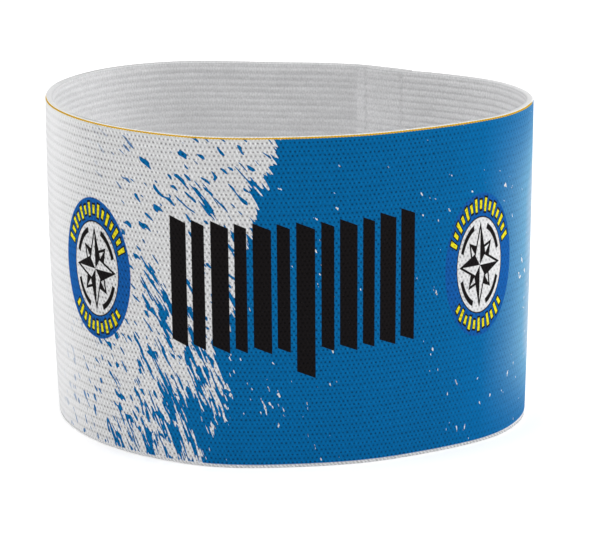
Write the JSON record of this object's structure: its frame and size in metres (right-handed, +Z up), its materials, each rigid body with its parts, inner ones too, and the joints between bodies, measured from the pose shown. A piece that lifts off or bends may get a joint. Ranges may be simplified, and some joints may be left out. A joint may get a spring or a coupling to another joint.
{
  "type": "captain armband",
  "caption": "Wide woven elastic armband that stands as an open egg-shaped loop, printed with a brushed two-colour design and closed by a sewn lap at the back.",
  "frame": {"origin": "middle of the loop's footprint, on the surface that the lower edge stands on", "axes": "+Z up along the arm's axis, +X to the right of someone facing the printed front, +Y away from them towards the lap"},
  "size_m": [0.109, 0.0662, 0.075],
  "materials": {
    "printed_elastic": "matt white woven elastic, ribbed inside, knit-like and printed blue on white outside",
    "sewing_thread": "matt white polyester thread of the lap's stitch rows"
  },
  "bodies": {
    "root": {"elastic_band": "printed_elastic"}
  },
  "joints": []
}
